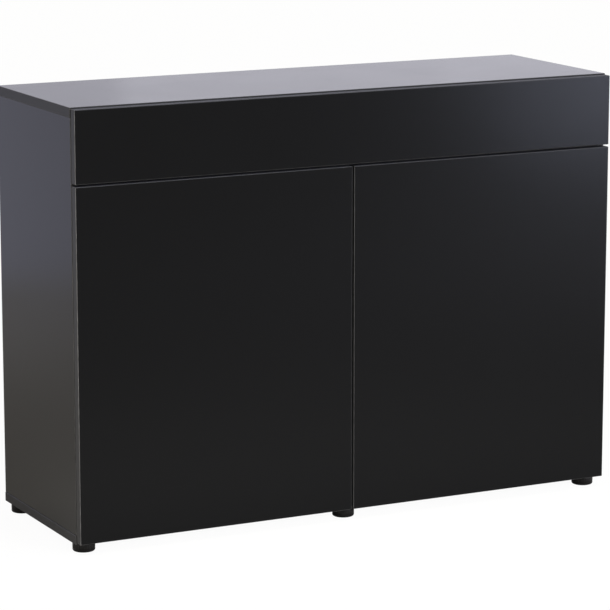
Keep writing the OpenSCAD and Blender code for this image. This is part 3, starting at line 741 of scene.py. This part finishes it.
def seen_share(tree, direct, mirrored):
    """Share of plain white for rays that see the background straight on, through glass or in a mirror."""
    path = tree.nodes.new("ShaderNodeLightPath")
    share = None
    weights = {"Is Camera Ray": direct, "Is Transmission Ray": direct, "Is Glossy Ray": mirrored}
    for kind, weight in weights.items():
        scaled = tree.nodes.new("ShaderNodeMath")
        scaled.operation = "MULTIPLY"
        scaled.inputs[1].default_value = weight
        tree.links.new(path.outputs[kind], scaled.inputs[0])
        if share:
            larger = tree.nodes.new("ShaderNodeMath")
            larger.operation = "MAXIMUM"
            tree.links.new(share, larger.inputs[0])
            tree.links.new(scaled.outputs[0], larger.inputs[1])
            scaled = larger
        share = scaled.outputs[0]
    return share, path.outputs["Is Camera Ray"]


floor_mesh = bpy.data.meshes.new("floor")
half = 20.0
floor_corners = [(-half, -half, 0), (half, -half, 0), (half, half, 0), (-half, half, 0)]
floor_mesh.from_pydata(floor_corners, [], [(0, 1, 2, 3)])
floor = bpy.data.objects.new("floor", floor_mesh)
scene.collection.objects.link(floor)
s = Shader("floor_paper")
FLOOR_COLOUR = (0.93, 0.9, 0.845, 1.0)
s.set(Base_Color=FLOOR_COLOUR, Roughness=0.9, IOR=1.1)
glow = s.node("Emission", Color=grey(1.0), Strength=1.0)
layers = s.node("MixShader", _1=s.surface.outputs[0], _2=glow.outputs[0])
s.put(layers, "_0", seen_share(s.tree, direct=0.96, mirrored=0.1)[0])
s.tree.links.new(layers.outputs[0], s.tree.nodes["Material Output"].inputs["Surface"])
floor_mesh.materials.append(s.material)

world = bpy.data.worlds.new("studio")
world.use_nodes = True
tree = world.node_tree
sky = tree.nodes["Background"]
MIRRORED_SKY = (0.985, 0.975, 1.1, 1.0)
LIGHTING_SKY = (1.06, 1.0, 0.9, 1.0)
LIGHTING_LEVEL = 0.46
seen, by_camera = seen_share(tree, direct=1.0, mirrored=1.0)
tint = tree.nodes.new("ShaderNodeMix")
tint.data_type = "RGBA"
tint.inputs[6].default_value = MIRRORED_SKY
tint.inputs[7].default_value = (1.0, 1.0, 1.0, 1.0)
tree.links.new(by_camera, tint.inputs[0])
warm = tree.nodes.new("ShaderNodeMix")
warm.data_type = "RGBA"
warm.inputs[6].default_value = LIGHTING_SKY
tree.links.new(seen, warm.inputs[0])
tree.links.new(tint.outputs[2], warm.inputs[7])
tree.links.new(warm.outputs[2], sky.inputs["Color"])
level = tree.nodes.new("ShaderNodeMapRange")
level.inputs["To Min"].default_value = LIGHTING_LEVEL
level.inputs["To Max"].default_value = 1.0
tree.links.new(seen, level.inputs["Value"])
tree.links.new(level.outputs["Result"], sky.inputs["Strength"])
scene.world = world

# Lamps: places, aims and sizes in metres, power in watts, spread in degrees
COOL_WHITE = (0.98, 0.98, 1.05)
area_lamp("front_right_box", place=(2.74, -2.9, 0.99), aim=(0.3, -0.2, 0.7), size=(1.4, 1.6),
          power=57, colour=(0.95, 0.985, 1.2))
area_lamp("overhead_front_box", place=(-0.1, -0.8, 2.2), aim=(-0.1, -0.7, 0.0), size=(2.2, 0.6),
          power=7, spread=64)
area_lamp("left_box", place=(-1.9, -0.75, 0.36), aim=(-0.6, -0.2, 0.47), size=(0.7, 0.65),
          power=1.6, colour=(1.04, 0.98, 0.9), spread=60)
area_lamp("back_wide_box", place=(4.0, 5.3, 1.5), aim=(0.2, 0.0, 0.9), size=(4.0, 2.0),
          power=6, colour=COOL_WHITE)
area_lamp("back_right_box", place=(4.5, 5.0, 1.5), aim=(0.3, 0.0, 0.9), size=(2.4, 2.0),
          power=0.8, colour=COOL_WHITE)
area_lamp("back_left_box", place=(-1.68, 2.12, 0.48), aim=(-0.6, 0.0, 0.56), size=(2.2, 0.86),
          power=2.0, colour=(0.73, 0.87, 1.72))
SUN_STRENGTH = 2.4
SUN_COLOUR = (0.97, 0.99, 1.06)
SUN_WIDTH = math.radians(30)
SUN_AZIMUTH = math.radians(22)
SUN_ELEVATION = math.radians(26)
sun_data = bpy.data.lights.new("key", "SUN")
sun_data.energy = SUN_STRENGTH
sun_data.color = SUN_COLOUR
sun_data.angle = SUN_WIDTH
sun = bpy.data.objects.new("key", sun_data)
sun_from = Vector((math.sin(SUN_AZIMUTH), -math.cos(SUN_AZIMUTH), math.tan(SUN_ELEVATION)))
sun.rotation_euler = (-sun_from).to_track_quat("-Z", "Y").to_euler()
scene.collection.objects.link(sun)

# Camera at the photograph's viewing angle: place in metres, angles in degrees
PHOTO_PX = 610
FOCAL_PX = 3036.0
CAMERA_PLACE = (-2.788, -5.496, 1.6451)
CAMERA_AZIMUTH = 26.836
CAMERA_ELEVATION = 11.321
camera_data = bpy.data.cameras.new("photo_camera")
camera_data.sensor_width = 36.0
camera_data.lens = FOCAL_PX / PHOTO_PX * camera_data.sensor_width
camera_data.clip_end = 200.0
camera = bpy.data.objects.new("photo_camera", camera_data)
camera.location = CAMERA_PLACE
azimuth, elevation = math.radians(CAMERA_AZIMUTH), math.radians(CAMERA_ELEVATION)
level_reach = math.cos(elevation)
ahead = Vector((math.sin(azimuth) * level_reach, math.cos(azimuth) * level_reach, -math.sin(elevation)))
camera.rotation_euler = ahead.to_track_quat("-Z", "Y").to_euler()
scene.collection.objects.link(camera)
scene.camera = camera
scene.view_settings.view_transform = "Standard"
